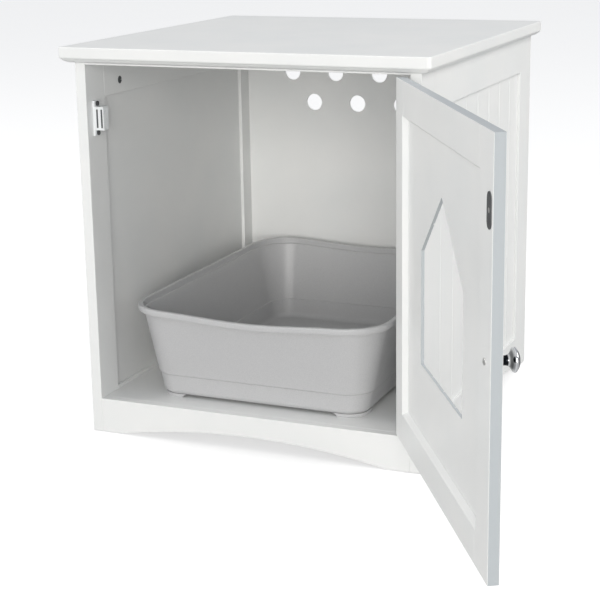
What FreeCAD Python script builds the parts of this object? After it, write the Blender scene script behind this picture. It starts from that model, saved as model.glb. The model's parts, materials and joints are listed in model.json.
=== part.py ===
"""Cat litter box cabinet.

A white lacquered flat-pack cabinet that hides a litter tray.  Two framed and
panelled sides, a front apron, a rear base rail, a floor, a vented back, two
stretchers and a moulded tabletop make the case.  One framed door with a
house-shaped cat entrance swings on two butt hinges at the right and shuts
against a magnetic catch at the left.  The litter tray stands loose on the floor.

Frame: millimetres, +X right and +Z up as seen from the front, +Y to the back.
The origin is on the ground, at the middle of the rear base rail's underside.
"""
import FreeCAD, Part
import math
import os

from FreeCAD import Rotation, Vector

# ---------------------------------------------------------------- driving sizes
# overall
top_width = 490.0
top_depth = 510.0
overall_height = 510.0
top_thick = 15.0
overhang = 15.5            # tabletop past the case at the front and both sides
top_corner_radius = 5.0
top_edge_radius = 1.5
top_lower_radius = 3.0     # round of the tabletop's lower edge, front and sides
ease = 0.5                 # broken edge on every sawn board

# moulding under the tabletop
moulding_height = 5.0
moulding_bulge = 0.8       # how far its sloped face swells
moulding_toe = 4.0         # flat left at its lower edge

# sides, each a frame of two stiles and two rails round a grooved panel
side_thick = 14.0
front_stile_width = 46.0
rear_stile_width = 55.0    # as seen from outside
rear_stile_inner_width = 35.0
side_top_rail_height = 53.5
side_bottom_rail_height = 50.0
side_inner_recess = 5.0    # panel below the frame's inside face
side_outer_recess = 4.0    # panel below the frame's outside face
tongue = 6.0               # how far rails and panels enter their grooves
tongue_play = 0.4          # end play of a tongue in its groove
bead_pitch = 51.8
bead_width = 3.0
bead_depth = 1.6

# base and floor
base_height = 46.0         # top of the floor above the ground
base_thick = 12.0          # apron and rear base rail
floor_thick = 12.0
foot_width = 28.0          # straight foot beside each arch
apron_arch_rise = 18.5
side_arch_rise = 24.5
cleat_width = 16.0
cleat_height = 9.0

# stretchers and back
front_stretcher_depth = 60.0
front_stretcher_thick = 7.7
rear_stretcher_thick = 15.0
rear_stretcher_height = 42.0
back_thick = 4.0
back_inset = 3.0           # back panel in from the rear edges of the sides
back_groove = 5.0
vent_radius = 12.6
vent_pitch = 70.4
vent_upper_count = 5
vent_drop = 68.0           # upper row of vents below the tabletop's underside
vent_row_gap = 45.5

# door
door_thick = 12.0
door_top_gap = 1.3
door_bottom_gap = 6.5
hinge_stile_width = 39.2
latch_stile_width = 50.4
door_top_rail_height = 44.5
door_bottom_rail_height = 42.0
door_panel_thick = 3.5
door_inner_recess = 6.5
door_bevel = 5.0           # slope round the inside of the door frame
house_shift = 11.0         # its middle off the middle of the cabinet, towards the hinges
house_width = 189.0
house_wall_height = 132.0
house_roof_height = 78.0
house_sill_height = 174.5  # above the ground
open_angle = 121.0         # how far the door stands open at rest

# hinges
leaf_thick = 1.2
leaf_play = 0.2            # air between the two shut leaves
leaf_depth = 10.5          # how far a leaf reaches behind the door's face
hinge_height = 50.0
knuckle_count = 3
knuckle_radius = 2.45
knuckle_play = 0.2
pin_radius = 1.25
pin_play = 0.05
pin_head_height = 0.8
barrel_stand_off = 2.8     # hinge axis in front of the case front
hinge_inset = 62.0         # middle of a hinge from the door's top or bottom

# screws
small_head_radius = 2.6
small_shank_radius = 1.2
hinge_screw_length = 10.0
hinge_screw_spacing = 30.0

# magnetic catch, strike and knob
catch_drop = 77.6          # middle of the catch below the tabletop's underside
catch_reach = 15.4         # out from the side
catch_body_height = 30.0
catch_depth = 13.0
catch_flange_height = 45.0
catch_flange_thick = 3.0
pole_thick = 2.0
pole_height = 23.5
pole_proud = 0.6
pole_bed = 8.0
pole_first = 6.6           # middle of the first pole plate from the side
pole_spacing = 6.4
magnet_height = 20.0
magnet_cover = 1.5         # plastic in front of the magnet
pole_to_strike = 0.4       # air between poles and strike with the door shut
catch_screw_length = 9.0
catch_screw_head_radius = 3.2
catch_screw_head_height = 1.6
catch_screw_offset = 18.8  # screw from the middle of the catch
strike_height = 35.0
strike_width = 15.0
strike_thick = 0.8
strike_edge = 11.2         # its middle from the door's free edge
strike_drop = 3.4          # its middle below the middle of the catch
strike_screw_length = 8.0
knob_edge = 21.0           # knob from the door's free edge
knob_length = 22.0
knob_radius = 12.1
knob_neck_radius = 4.7
knob_foot_radius = 5.7
knob_foot_height = 1.2
knob_waist_swell = 0.8     # how far the neck has swollen below the flare
knob_brim = 16.5           # widest part of the head out from the door
knob_brim_round = 1.6
knob_brim_depth = 0.9      # how far its round stands out
knob_bands = 4             # straight bands that stand for each of its curves
knob_screw_radius = 2.0
knob_screw_play = 0.2
knob_screw_bite = 8.0
knob_screw_head_radius = 3.6
knob_screw_head_height = 1.8

# cam fittings and dowels
cam_radius = 5.0
cam_length = 9.0
cam_drop = 36.4            # cam below the underside of the tabletop
cam_inset = 87.0           # from the front and rear of the case
cam_slot = 1.2
cam_bolt_radius = 2.5
cam_bolt_play = 0.4
cam_bolt_bite = 9.0        # into the tabletop
dowel_radius = 2.5
dowel_length = 18.0
dowel_bite = 8.0           # part of the dowel in the side
dowel_flutes = 12

# litter tray
tray_width = 354.0
tray_length = 462.0
tray_height = 125.5        # rim corners above the floor
tray_dip = 6.0             # rim lower in the middle of its short sides
tray_dip_share = 0.82      # part of the width that the dip takes
tray_corner = 59.0
tray_tightest = 4.0        # least corner radius, inside at the bottom
tray_wall = 2.6
tray_x = -5.6
tray_front_clearance = 8.0 # nearest rim point behind the case front
tray_turn = -0.2           # degrees, how it was put down
rim_width = 6.5
rim_height = 7.5
ledge_drop = 8.0           # stacking ledge inside, below the rim
ledge_width = 3.0
ledge_bead = 0.6           # how far its edge stands in past the wall under it
step_height = 33.0         # moulded step on the wall above the floor
step_depth = 1.3
step_round = 0.8
wall_slope = 0.205         # inward per unit of height
bottom_round = 9.0
round_facets = 3
tray_foot_height = 1.4
tray_foot_length = 34.0    # foot along each side from the bottom's corner
tray_foot_inset = 3.0      # foot in from the wall at the end of the bottom round

# ---------------------------------------------------------------- worked-out sizes
case_width = top_width - 2 * overhang
case_depth = top_depth - overhang
case_top = overall_height - top_thick
outer_x = case_width / 2
inner_x = outer_x - side_thick
back_y = base_thick / 2
front_y = back_y - case_depth
floor_top = base_height
floor_under = floor_top - floor_thick
back_panel_front = back_y - back_inset - back_thick
apron_back = front_y + base_thick
rear_rail_front = back_y - base_thick
stretcher_under = case_top - front_stretcher_thick

panel_in_x = inner_x + side_inner_recess
panel_out_x = outer_x - side_outer_recess
side_open_front = front_y + front_stile_width
side_open_rear = back_y - rear_stile_width
side_rebate_rear = back_y - rear_stile_inner_width
side_open_top = case_top - side_top_rail_height
side_open_bottom = side_bottom_rail_height

hinge_gap = 2 * leaf_thick + leaf_play
axis_x = inner_x - hinge_gap / 2
axis_y = front_y - barrel_stand_off
door_hinge_x = inner_x - hinge_gap
door_free_x = -inner_x + hinge_gap
door_bottom = base_height + door_bottom_gap
door_top = stretcher_under - door_top_gap
door_back = front_y + door_thick
door_panel_back = door_back - door_inner_recess
door_panel_front = door_panel_back - door_panel_thick
door_open_right = door_hinge_x - hinge_stile_width
door_open_left = door_free_x + latch_stile_width
door_open_bottom = door_bottom + door_bottom_rail_height
door_open_top = door_top - door_top_rail_height
strike_x = door_free_x + strike_edge
catch_front = door_back + strike_thick + pole_to_strike + pole_proud
catch_height = case_top - catch_drop
strike_middle = catch_height - strike_drop
knob_height = (door_bottom + door_top) / 2
vent_upper_height = case_top - vent_drop
moulding_reach = overhang - top_lower_radius


# ---------------------------------------------------------------- small helpers
def block(x0, x1, y0, y1, z0, z1):
    """A plain box between two corners."""
    return Part.makeBox(x1 - x0, y1 - y0, z1 - z0, Vector(x0, y0, z0))


def board(x0, x1, y0, y1, z0, z1):
    """A sawn board with its edges broken."""
    sawn = block(x0, x1, y0, y1, z0, z1)
    return sawn.makeChamfer(ease, sawn.Edges)


def rod(radius, start, end):
    """A round bar from one point to another."""
    run = end - start
    return Part.makeCylinder(radius, run.Length, start, run)


def prism(points, travel):
    """A polygon through the points, extruded along a vector."""
    return Part.Face(Part.makePolygon(points + [points[0]])).extrude(travel)


def mirrored(shape):
    """The same piece for the left side."""
    return shape.mirror(Vector(0, 0, 0), Vector(1, 0, 0))


def opened(shape):
    """A door piece, modelled shut, turned about the hinge axis to its resting angle."""
    turned = shape.copy()
    turned.rotate(Vector(axis_x, axis_y, 0), Vector(0, 0, 1), open_angle)
    return turned


def arch_cutter(place, middle, half, rise, travel):
    """The wood taken out under a shallow arc; place(u, z) puts a point of it in space."""
    below = -1.0
    left = middle - half
    right = middle + half
    arc = Part.Arc(place(left, 0), place(middle, rise), place(right, 0)).toShape()
    sides = Part.makePolygon([place(right, 0), place(right, below), place(left, below), place(left, 0)])
    return Part.Face(Part.Wire([arc] + sides.Edges)).extrude(travel)


def bead_positions(start, end):
    """Grooves at a steady pitch, centred between two edges."""
    middle = (start + end) / 2
    per_side = int((end - start) / 2 / bead_pitch)
    return [middle + bead_pitch * k for k in range(-per_side, per_side + 1)]


def countersunk_screw(seat, direction, length, head_height):
    """A screw whose flat head is flush at the seat and whose shank runs along direction."""
    cone = Part.makeCone(small_head_radius, small_shank_radius, head_height, seat, direction)
    shank_start = seat + direction * head_height
    return cone.fuse(rod(small_shank_radius, shank_start, seat + direction * length)).removeSplitter()


# ---------------------------------------------------------------- tabletop and moulding
def tabletop():
    """The top board: rounded corners, a softened upper edge and a rounder lower one."""
    slab = block(-top_width / 2, top_width / 2, front_y - overhang, back_y, case_top, overall_height)
    uprights = [e for e in slab.Edges if abs(e.tangentAt(e.FirstParameter).z) > 0.9]
    slab = slab.makeFillet(top_corner_radius, uprights)
    rim = [e for e in slab.Edges if e.BoundBox.ZMin > overall_height - 1e-6]
    slab = slab.makeFillet(top_edge_radius, rim)
    under = [e for e in slab.Edges if e.BoundBox.ZMax < case_top + 1e-6 and e.BoundBox.YMin < back_y - 1e-6
             and abs(e.CenterOfMass.y - back_y) > top_corner_radius]
    slab = slab.makeFillet(top_lower_radius, under)
    for start, end in cam_bolt_lines():
        slab = slab.cut(rod(cam_bolt_radius, start, end))
    return slab


def moulding_profile(place):
    """Moulding section; place(d, z) takes the distance out from the case and the height."""
    low = case_top - moulding_height
    outer = place(moulding_reach, case_top)
    toe = place(moulding_toe, low)
    run = moulding_reach - moulding_toe
    slope = math.hypot(run, moulding_height)
    out_d = moulding_height / slope * moulding_bulge
    out_z = -run / slope * moulding_bulge
    swell = place((moulding_reach + moulding_toe) / 2 + out_d, (case_top + low) / 2 + out_z)
    face = Part.Arc(outer, swell, toe).toShape()
    rest = Part.makePolygon([toe, place(0, low), place(0, case_top), outer])
    return Part.Face(Part.Wire([face] + rest.Edges))


def moulding_front():
    """The front length, mitred at both ends."""
    half = outer_x + moulding_reach
    strip = moulding_profile(lambda d, z: Vector(-half, front_y - d, z)).extrude(Vector(2 * half, 0, 0))
    low = case_top - moulding_height
    plan = [Vector(-outer_x, front_y, low), Vector(outer_x, front_y, low),
            Vector(half, front_y - moulding_reach, low), Vector(-half, front_y - moulding_reach, low)]
    return strip.common(prism(plan, Vector(0, 0, moulding_height)))


def moulding_right():
    """A side length, mitred at the front and square at the back."""
    start = front_y - moulding_reach
    run = Vector(0, back_y - start, 0)
    strip = moulding_profile(lambda d, z: Vector(outer_x + d, start, z)).extrude(run)
    low = case_top - moulding_height
    plan = [Vector(outer_x, front_y, low), Vector(outer_x + moulding_reach, start, low),
            Vector(outer_x + moulding_reach, back_y, low), Vector(outer_x, back_y, low)]
    return strip.common(prism(plan, Vector(0, 0, moulding_height)))


# ---------------------------------------------------------------- sides
def side_arch():
    """The arch under a side, between two feet."""
    middle = (front_y + back_y) / 2
    half = case_depth / 2 - foot_width
    return arch_cutter(lambda u, z: Vector(inner_x, u, z), middle, half, side_arch_rise,
                       Vector(side_thick, 0, 0))


def side_front_stile():
    """Full height, grooved along its rear edge."""
    stile = board(inner_x, outer_x, front_y, side_open_front, 0, case_top)
    groove = block(panel_in_x, panel_out_x, side_open_front - tongue, side_open_front, 0, case_top)
    return stile.cut(groove).cut(side_arch())


def side_rear_stile():
    """Full height, wider outside than inside, so that the panel lies on its lip."""
    stile = board(inner_x, outer_x, side_open_rear, back_y, 0, case_top)
    rebate = block(inner_x, panel_out_x, side_open_rear, side_rebate_rear, 0, case_top)
    slot = block(inner_x, inner_x + back_groove, back_panel_front, back_y - back_inset,
                 floor_top - back_groove, case_top)
    return stile.cut(rebate).cut(slot).cut(side_arch())


def side_rail(z0, z1):
    """A rail between the stiles, tongued into the front one and lapped on the rear one."""
    inside = board(inner_x, panel_out_x, side_open_front, side_rebate_rear, z0, z1)
    outside = block(panel_out_x - ease, outer_x, side_open_front, side_open_rear, z0, z1)
    end = block(panel_in_x, panel_out_x, side_open_front - tongue + tongue_play,
                side_open_front + ease, z0, z1)
    return inside.fuse([outside, end]).removeSplitter()


def side_top_rail():
    """Grooved below for the panel and drilled for two cam fittings."""
    rail = side_rail(side_open_top, case_top)
    groove = block(panel_in_x, panel_out_x, front_y, side_rebate_rear, side_open_top,
                   side_open_top + tongue)
    rail = rail.cut(groove)
    for y in cam_places():
        rail = rail.cut(cam_pocket(y)).cut(cam_bolt_hole(y))
    return rail


def side_bottom_rail():
    """Grooved above for the panel and arched below."""
    rail = side_rail(0, side_open_bottom)
    groove = block(panel_in_x, panel_out_x, front_y, side_rebate_rear,
                   side_open_bottom - tongue, side_open_bottom)
    return rail.cut(groove).cut(side_arch())


def side_panel():
    """The thin panel with upright grooves on its outer face."""
    reach = tongue - tongue_play
    z0 = side_open_bottom - reach
    z1 = side_open_top + reach
    sheet = block(panel_in_x, panel_out_x, side_open_front - reach, side_rebate_rear - tongue_play, z0, z1)
    for y in bead_positions(side_open_front, side_open_rear):
        groove = [Vector(panel_out_x, y - bead_width / 2, z0), Vector(panel_out_x, y + bead_width / 2, z0),
                  Vector(panel_out_x - bead_depth, y, z0)]
        sheet = sheet.cut(prism(groove, Vector(0, 0, z1 - z0)))
    return sheet


# ---------------------------------------------------------------- cam fittings and dowels
def cam_places():
    """Where the cams lie along a side."""
    return [front_y + cam_inset, back_y - cam_inset]


def cam_bolt_x():
    """The bolt's line, through the middle of the cam."""
    return inner_x + cam_length / 2


def cam_height():
    return case_top - cam_drop


def cam_bolt_lines():
    """From each cam up into the tabletop, both sides."""
    lines = []
    for x in (-cam_bolt_x(), cam_bolt_x()):
        for y in cam_places():
            lines.append((Vector(x, y, cam_height()), Vector(x, y, case_top + cam_bolt_bite)))
    return lines


def cam_pocket(y):
    return rod(cam_radius, Vector(inner_x, y, cam_height()), Vector(inner_x + cam_length, y, cam_height()))


def cam_bolt_hole(y):
    return rod(cam_bolt_radius + cam_bolt_play, Vector(cam_bolt_x(), y, cam_height()),
               Vector(cam_bolt_x(), y, case_top))


def cam_locks():
    """Round cams with a screwdriver slot, each gripping its bolt."""
    cams = []
    for y in cam_places():
        slot = block(inner_x, inner_x + cam_slot, y - cam_radius, y + cam_radius,
                     cam_height() - cam_slot / 2, cam_height() + cam_slot / 2)
        throat = rod(cam_bolt_radius, Vector(cam_bolt_x(), y, cam_height()),
                     Vector(cam_bolt_x(), y, cam_height() + cam_radius))
        cam = cam_pocket(y).cut(slot).cut(throat)
        cams += [cam, mirrored(cam)]
    return Part.makeCompound(cams)


def cam_bolts():
    return Part.makeCompound([rod(cam_bolt_radius, start, end) for start, end in cam_bolt_lines()])


def dowel_places():
    """Height and depth of each dowel at an end of a cross piece."""
    apron_y = (front_y + apron_back) / 2
    rear_y = (rear_rail_front + back_y) / 2
    stretcher_y = back_panel_front - rear_stretcher_thick / 2
    stretcher_z = case_top - rear_stretcher_height / 2
    beam_z = (stretcher_under + case_top) / 2
    spread = 4 * dowel_radius
    places = []
    for y, z in ((apron_y, 2 * dowel_radius), (apron_y, base_height - 2 * dowel_radius),
                 (rear_y, 2 * dowel_radius), (rear_y, base_height - spread),
                 (front_y + spread, beam_z), (side_open_front - spread, beam_z),
                 (stretcher_y, stretcher_z - spread / 2), (stretcher_y, stretcher_z + spread / 2)):
        places.append((y, z))
    return places


def dowel(y, z):
    """A fluted dowel, glued tight in its hole."""
    x = inner_x - dowel_length + dowel_bite
    turns = [2 * math.pi * k / dowel_flutes for k in range(dowel_flutes)]
    ring = [Vector(x, y + dowel_radius * math.cos(t), z + dowel_radius * math.sin(t)) for t in turns]
    return prism(ring, Vector(dowel_length, 0, 0))


def dowels():
    right = [dowel(y, z) for y, z in dowel_places()]
    return Part.makeCompound(right + [mirrored(d) for d in right])


def drilled(shape, mirror_too=False):
    """Take the dowel holes out of a piece; mirror_too drills both of its ends."""
    for y, z in dowel_places():
        hole = dowel(y, z)
        shape = shape.cut(hole)
        if mirror_too:
            shape = shape.cut(mirrored(hole))
    return shape


# ---------------------------------------------------------------- base, floor, back
def apron():
    """Front board under the door, with its shallow arch."""
    plank = board(-inner_x, inner_x, front_y, apron_back, 0, base_height)
    arch = arch_cutter(lambda u, z: Vector(u, front_y, z), 0, inner_x - foot_width,
                       apron_arch_rise, Vector(0, base_thick, 0))
    return drilled(plank.cut(arch), True)


def rear_base_rail():
    """Rear board under the floor's edge, grooved for the back panel."""
    plank = board(-inner_x, inner_x, rear_rail_front, back_y, 0, base_height)
    groove = block(-inner_x, inner_x, back_panel_front, back_y - back_inset,
                   base_height - back_groove, base_height)
    return drilled(plank.cut(groove), True)


def floor_panel():
    return board(-inner_x, inner_x, apron_back, rear_rail_front, floor_under, floor_top)


def floor_cleats():
    """Battens on the sides that carry the floor."""
    right = board(inner_x - cleat_width, inner_x, apron_back, rear_rail_front,
                  floor_under - cleat_height, floor_under)
    return Part.makeCompound([right, mirrored(right)])


def front_stretcher():
    """Flat rail under the tabletop, above the door."""
    plank = board(-inner_x, inner_x, front_y, front_y + front_stretcher_depth, stretcher_under, case_top)
    return drilled(plank, True)


def rear_stretcher():
    """Upright rail in front of the back panel's top."""
    plank = board(-inner_x, inner_x, back_panel_front - rear_stretcher_thick, back_panel_front,
                  case_top - rear_stretcher_height, case_top)
    return drilled(plank, True)


def back_panel():
    """Thin back in the side grooves, with two staggered rows of round vents near its top."""
    reach = inner_x + back_groove - tongue_play
    rear = back_y - back_inset
    sheet = block(-reach, reach, back_panel_front, rear, floor_top - back_groove + tongue_play, case_top)
    for row in range(2):
        count = vent_upper_count - row
        z = vent_upper_height - row * vent_row_gap
        for k in range(count):
            x = (k - (count - 1) / 2) * vent_pitch
            sheet = sheet.cut(rod(vent_radius, Vector(x, back_panel_front, z), Vector(x, rear, z)))
    return sheet


# ---------------------------------------------------------------- door
def door_bevel_cutter():
    """The slope round the inside of the door's frame, widest at the inside face."""
    def outline(grow, y):
        left = door_open_left - grow
        right = door_open_right + grow
        low = door_open_bottom - grow
        high = door_open_top + grow
        return Part.makePolygon([Vector(left, y, low), Vector(right, y, low), Vector(right, y, high),
                                 Vector(left, y, high), Vector(left, y, low)])
    return Part.makeLoft([outline(0, door_panel_back), outline(door_bevel, door_back)], True, True)


def door_stile(x0, x1, groove_x0, groove_x1):
    stile = board(x0, x1, front_y, door_back, door_bottom, door_top)
    groove = block(groove_x0, groove_x1, door_panel_front, door_panel_back, door_bottom, door_top)
    return stile.cut(groove).cut(door_bevel_cutter())


def door_hinge_stile():
    stile = door_stile(door_open_right, door_hinge_x, door_open_right, door_open_right + tongue)
    for screw in hinge_screws(-1):
        stile = stile.cut(screw)
    return stile


def door_latch_stile():
    stile = door_stile(door_free_x, door_open_left, door_open_left - tongue, door_open_left)
    return stile.cut(strike_screw()).cut(knob_screw_hole())


def door_rail(z0, z1, groove_z):
    """A rail between the door's stiles with a tongue at each end and a groove for the panel."""
    rail = board(door_open_left, door_open_right, front_y, door_back, z0, z1)
    reach = tongue - tongue_play
    for x0, x1 in ((door_open_left - reach, door_open_left + ease),
                   (door_open_right - ease, door_open_right + reach)):
        rail = rail.fuse(block(x0, x1, door_panel_front, door_panel_back, z0, z1))
    groove = block(door_open_left - tongue, door_open_right + tongue, door_panel_front,
                   door_panel_back, groove_z, groove_z + tongue)
    return rail.removeSplitter().cut(groove).cut(door_bevel_cutter())


def door_top_rail():
    return door_rail(door_open_top, door_top, door_open_top)


def door_bottom_rail():
    return door_rail(door_bottom, door_open_bottom, door_open_bottom - tongue)


def house_outline(y):
    """The cat entrance: a square-cornered house front with a pitched roof."""
    left = house_shift - house_width / 2
    right = house_shift + house_width / 2
    eaves = house_sill_height + house_wall_height
    return [Vector(left, y, house_sill_height), Vector(right, y, house_sill_height), Vector(right, y, eaves),
            Vector(house_shift, y, eaves + house_roof_height), Vector(left, y, eaves)]


def door_panel():
    """Thin door panel with the entrance cut through and upright grooves outside."""
    reach = tongue - tongue_play
    z0 = door_open_bottom - reach
    z1 = door_open_top + reach
    sheet = block(door_open_left - reach, door_open_right + reach, door_panel_front, door_panel_back, z0, z1)
    for x in bead_positions(door_open_left, door_open_right):
        groove = [Vector(x - bead_width / 2, door_panel_front, z0),
                  Vector(x + bead_width / 2, door_panel_front, z0),
                  Vector(x, door_panel_front + bead_depth, z0)]
        sheet = sheet.cut(prism(groove, Vector(0, 0, z1 - z0)))
    return sheet.cut(prism(house_outline(door_panel_front), Vector(0, door_panel_thick, 0)))


# ---------------------------------------------------------------- hinges
def hinge_middles():
    """Height of the lower and the upper hinge."""
    return [door_bottom + hinge_inset, door_top - hinge_inset]


def hinge_leaf(middle, side):
    """One leaf with its knuckles; side is +1 for the case and -1 for the door."""
    low = middle - hinge_height / 2
    step = hinge_height / knuckle_count
    near = axis_x + side * leaf_play / 2
    far = axis_x + side * hinge_gap / 2
    x0, x1 = min(near, far), max(near, far)
    leaf = block(x0, x1, front_y, front_y + leaf_depth, low, low + hinge_height)
    bore = pin_radius if side > 0 else pin_radius + pin_play
    first = 0 if side > 0 else 1
    for k in range(first, knuckle_count, 2):
        z0 = low + k * step + knuckle_play / 2
        z1 = z0 + step - knuckle_play
        leaf = leaf.fuse(block(x0, x1, axis_y, front_y, z0, z1))
        leaf = leaf.fuse(rod(knuckle_radius, Vector(axis_x, axis_y, z0), Vector(axis_x, axis_y, z1)))
    leaf = leaf.cut(rod(bore, Vector(axis_x, axis_y, low), Vector(axis_x, axis_y, low + hinge_height)))
    for screw in hinge_screws(side):
        leaf = leaf.cut(screw)
    return leaf.removeSplitter()


def hinge_screws(side):
    """Screws of both hinges on the case or the door, heads flush in the leaf."""
    screws = []
    seat_x = axis_x + side * leaf_play / 2
    for middle in hinge_middles():
        for z in (middle - hinge_screw_spacing / 2, middle + hinge_screw_spacing / 2):
            seat = Vector(seat_x, front_y + door_thick / 2, z)
            screws.append(countersunk_screw(seat, Vector(side, 0, 0), hinge_screw_length, leaf_thick))
    return screws


def hinge_pin(middle):
    """The pin, with a small head at each end."""
    low = Vector(axis_x, axis_y, middle - hinge_height / 2)
    high = Vector(axis_x, axis_y, middle + hinge_height / 2)
    up = Vector(0, 0, pin_head_height)
    heads = [rod(knuckle_radius, high, high + up), rod(knuckle_radius, low - up, low)]
    return rod(pin_radius, low, high).fuse(heads).removeSplitter()


# ---------------------------------------------------------------- catch, strike, knob
def pole_middles():
    return [-inner_x + pole_first, -inner_x + pole_first + pole_spacing]


def pole_plate(x):
    return block(x - pole_thick / 2, x + pole_thick / 2, catch_front - pole_proud, catch_front + pole_bed,
                 catch_height - pole_height / 2, catch_height + pole_height / 2)


def catch_pole_plates():
    return Part.makeCompound([pole_plate(x) for x in pole_middles()])


def catch_magnet():
    """The magnet between the two pole plates, behind the catch's front."""
    first, second = pole_middles()
    return block(first + pole_thick / 2, second - pole_thick / 2, catch_front + magnet_cover,
                 catch_front + pole_bed, catch_height - magnet_height / 2, catch_height + magnet_height / 2)


def catch_body():
    """White housing with two screw ears, slotted for the pole plates."""
    rear = catch_front + catch_depth
    wall = -inner_x
    housing = board(wall, wall + catch_reach, catch_front, rear,
                    catch_height - catch_body_height / 2, catch_height + catch_body_height / 2)
    flange = board(wall, wall + catch_flange_thick, catch_front, rear,
                   catch_height - catch_flange_height / 2, catch_height + catch_flange_height / 2)
    body = housing.fuse(flange).removeSplitter().cut(catch_magnet())
    for x in pole_middles():
        body = body.cut(pole_plate(x))
    for screw in catch_screw_list():
        body = body.cut(screw)
    return body


def catch_screw_list():
    """Two screws through the ears into the left front stile."""
    screws = []
    y = catch_front + catch_depth / 2
    for z in (catch_height - catch_screw_offset, catch_height + catch_screw_offset):
        seat = Vector(-inner_x + catch_flange_thick, y, z)
        head = Part.makeCylinder(catch_screw_head_radius, catch_screw_head_height, seat, Vector(1, 0, 0))
        shank = rod(small_shank_radius, seat, seat - Vector(catch_screw_length, 0, 0))
        screws.append(head.fuse(shank).removeSplitter())
    return screws


def strike_plate():
    """Steel strike with round ends, flat on the inside of the door."""
    radius = strike_width / 2
    low = strike_middle - strike_height / 2 + radius
    high = strike_middle + strike_height / 2 - radius
    start = door_back
    end = door_back + strike_thick
    plate = block(strike_x - radius, strike_x + radius, start, end, low, high)
    for z in (low, high):
        plate = plate.fuse(rod(radius, Vector(strike_x, start, z), Vector(strike_x, end, z)))
    return plate.removeSplitter().cut(strike_screw())


def strike_screw():
    seat = Vector(strike_x, door_back + strike_thick, strike_middle)
    return countersunk_screw(seat, Vector(0, -1, 0), strike_screw_length, strike_thick)


def knob_x():
    return door_free_x + knob_edge


def knob():
    """Turned knob: small foot, waisted neck, flared head with a domed face."""
    def at(out, radius):
        return Vector(knob_x() + radius, front_y - out, knob_height)

    def bands(start, middle, end):
        return Part.Arc(start, middle, end).toShape().discretize(knob_bands + 1)

    face_start = knob_brim + knob_brim_round
    face_radius = knob_radius - knob_brim_depth
    crown = knob_length - face_start
    sphere = (crown ** 2 + face_radius ** 2) / (2 * crown)
    half_turn = math.asin(face_radius / sphere) / 2
    neck = at(knob_foot_height, knob_neck_radius)
    waist = at(knob_brim / 2, knob_neck_radius + knob_waist_swell)
    under = at(knob_brim - knob_brim_round, face_radius)
    face = at(face_start, face_radius)
    halfway = at(knob_length - sphere * (1 - math.cos(half_turn)), sphere * math.sin(half_turn))
    outline = bands(neck, waist, under)
    outline += bands(under, at(knob_brim, knob_radius), face)[1:]
    outline += bands(face, halfway, at(knob_length, 0))[1:]
    outline += [at(0, 0), at(0, knob_foot_radius), at(knob_foot_height, knob_foot_radius), outline[0]]
    turned = Part.Face(Part.makePolygon(outline)).revolve(at(0, 0), Vector(0, 1, 0), 360)
    return turned.cut(knob_screw_shank())


def knob_screw_shank():
    return rod(knob_screw_radius, Vector(knob_x(), door_back, knob_height),
               Vector(knob_x(), front_y - knob_screw_bite, knob_height))


def knob_screw_hole():
    return rod(knob_screw_radius + knob_screw_play, Vector(knob_x(), door_back, knob_height),
               Vector(knob_x(), front_y, knob_height))


def knob_screw():
    """Machine screw through the latch stile, with a low round head inside."""
    head = Part.makeCone(knob_screw_head_radius, 0.6 * knob_screw_head_radius, knob_screw_head_height,
                         Vector(knob_x(), door_back, knob_height), Vector(0, 1, 0))
    return head.fuse(knob_screw_shank()).removeSplitter()


# ---------------------------------------------------------------- litter tray
def tray_outline(inset, z):
    """A rounded rectangle, drawn in from the rim's outer line, about the tray's middle."""
    a = tray_width / 2 - inset
    b = tray_length / 2 - inset
    r = max(tray_corner - inset, tray_tightest)
    bend = r * math.sqrt(0.5)
    edges = []
    corners = ((1, 1), (-1, 1), (-1, -1), (1, -1))
    points = []
    for k, (sx, sy) in enumerate(corners):
        cx, cy = sx * (a - r), sy * (b - r)
        along = Vector(cx + sx * r, cy, z)
        across = Vector(cx, cy + sy * r, z)
        start, end = (along, across) if k % 2 == 0 else (across, along)
        points.append((start, Vector(cx + sx * bend, cy + sy * bend, z), end))
    for k, (start, middle, end) in enumerate(points):
        edges.append(Part.Arc(start, middle, end).toShape())
        edges.append(Part.LineSegment(end, points[(k + 1) % 4][0]).toShape())
    return Part.Wire(edges)


def wall_inset(height):
    """How far the outer wall has drawn in at a height above the floor."""
    inset = rim_width + ledge_width - tray_wall + (tray_height - ledge_drop - height) * wall_slope
    return inset + (step_depth if height < step_height else 0.0)


def tray_sections():
    """Inset and height of the outer wall from the bottom up, with the round and the step."""
    bottom = tray_foot_height
    side = wall_inset(bottom + bottom_round)
    sections = []
    for k in range(round_facets + 1):
        turn = math.pi / 2 * k / round_facets
        sections.append((side + bottom_round * (1 - math.sin(turn)),
                         bottom + bottom_round * (1 - math.cos(turn))))
    for height in (step_height - step_round, step_height + step_round, tray_height):
        sections.append((wall_inset(height), height))
    return sections


def tray_loft(inset, lift):
    """The wall's form, drawn in by inset and raised by lift at its bottom."""
    low = tray_foot_height + lift
    sections = [(d + inset, max(z, low)) for d, z in tray_sections()]
    kept = [sections[0]] + [s for s in sections[1:] if s[1] > low + 1e-6]
    return Part.makeLoft([tray_outline(d, z) for d, z in kept], True, True)


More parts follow.
